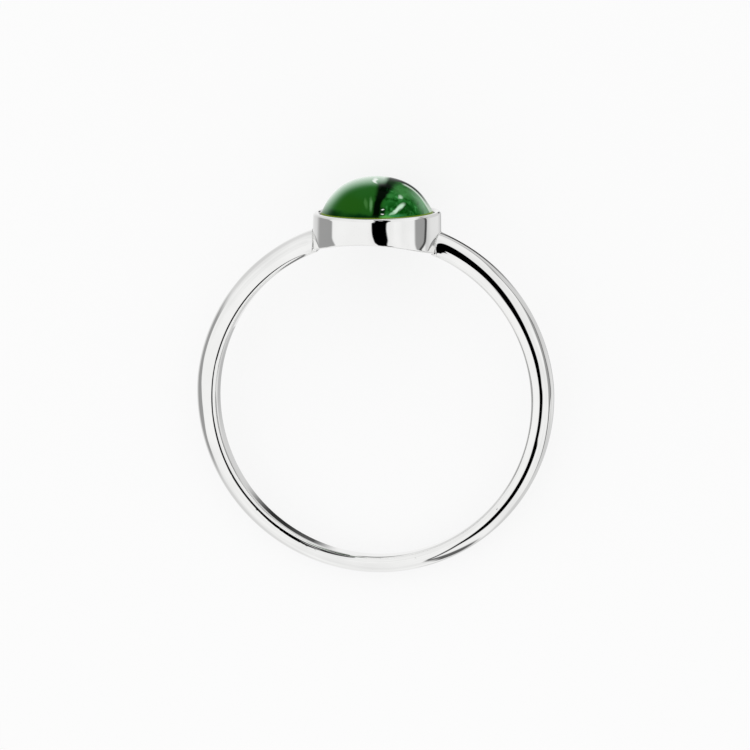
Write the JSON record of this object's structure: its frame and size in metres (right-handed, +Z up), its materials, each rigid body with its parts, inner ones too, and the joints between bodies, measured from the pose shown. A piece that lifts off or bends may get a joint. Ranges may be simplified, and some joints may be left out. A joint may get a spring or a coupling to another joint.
{
  "type": "cabochon ring",
  "caption": "Plain white-metal finger ring lying on its side, with a D-section band that widens to its shoulders and a round green cabochon in a bezel with a rolled lip.",
  "frame": {"origin": "middle of the ring's box, on the surface that the ring lies on", "axes": "+Z up, 8.8 degrees off the finger's axis; +Y from the back of the band to the stone; +X across the band"},
  "size_m": [0.0194, 0.0212, 0.007],
  "materials": {
    "white_metal": "mirror-polished silver with a bright white plating",
    "green_stone": "polished green tourmaline with fine inclusions"
  },
  "bodies": {
    "root": {"band_with_bezel": "white_metal", "cabochon": "green_stone"}
  },
  "joints": []
}
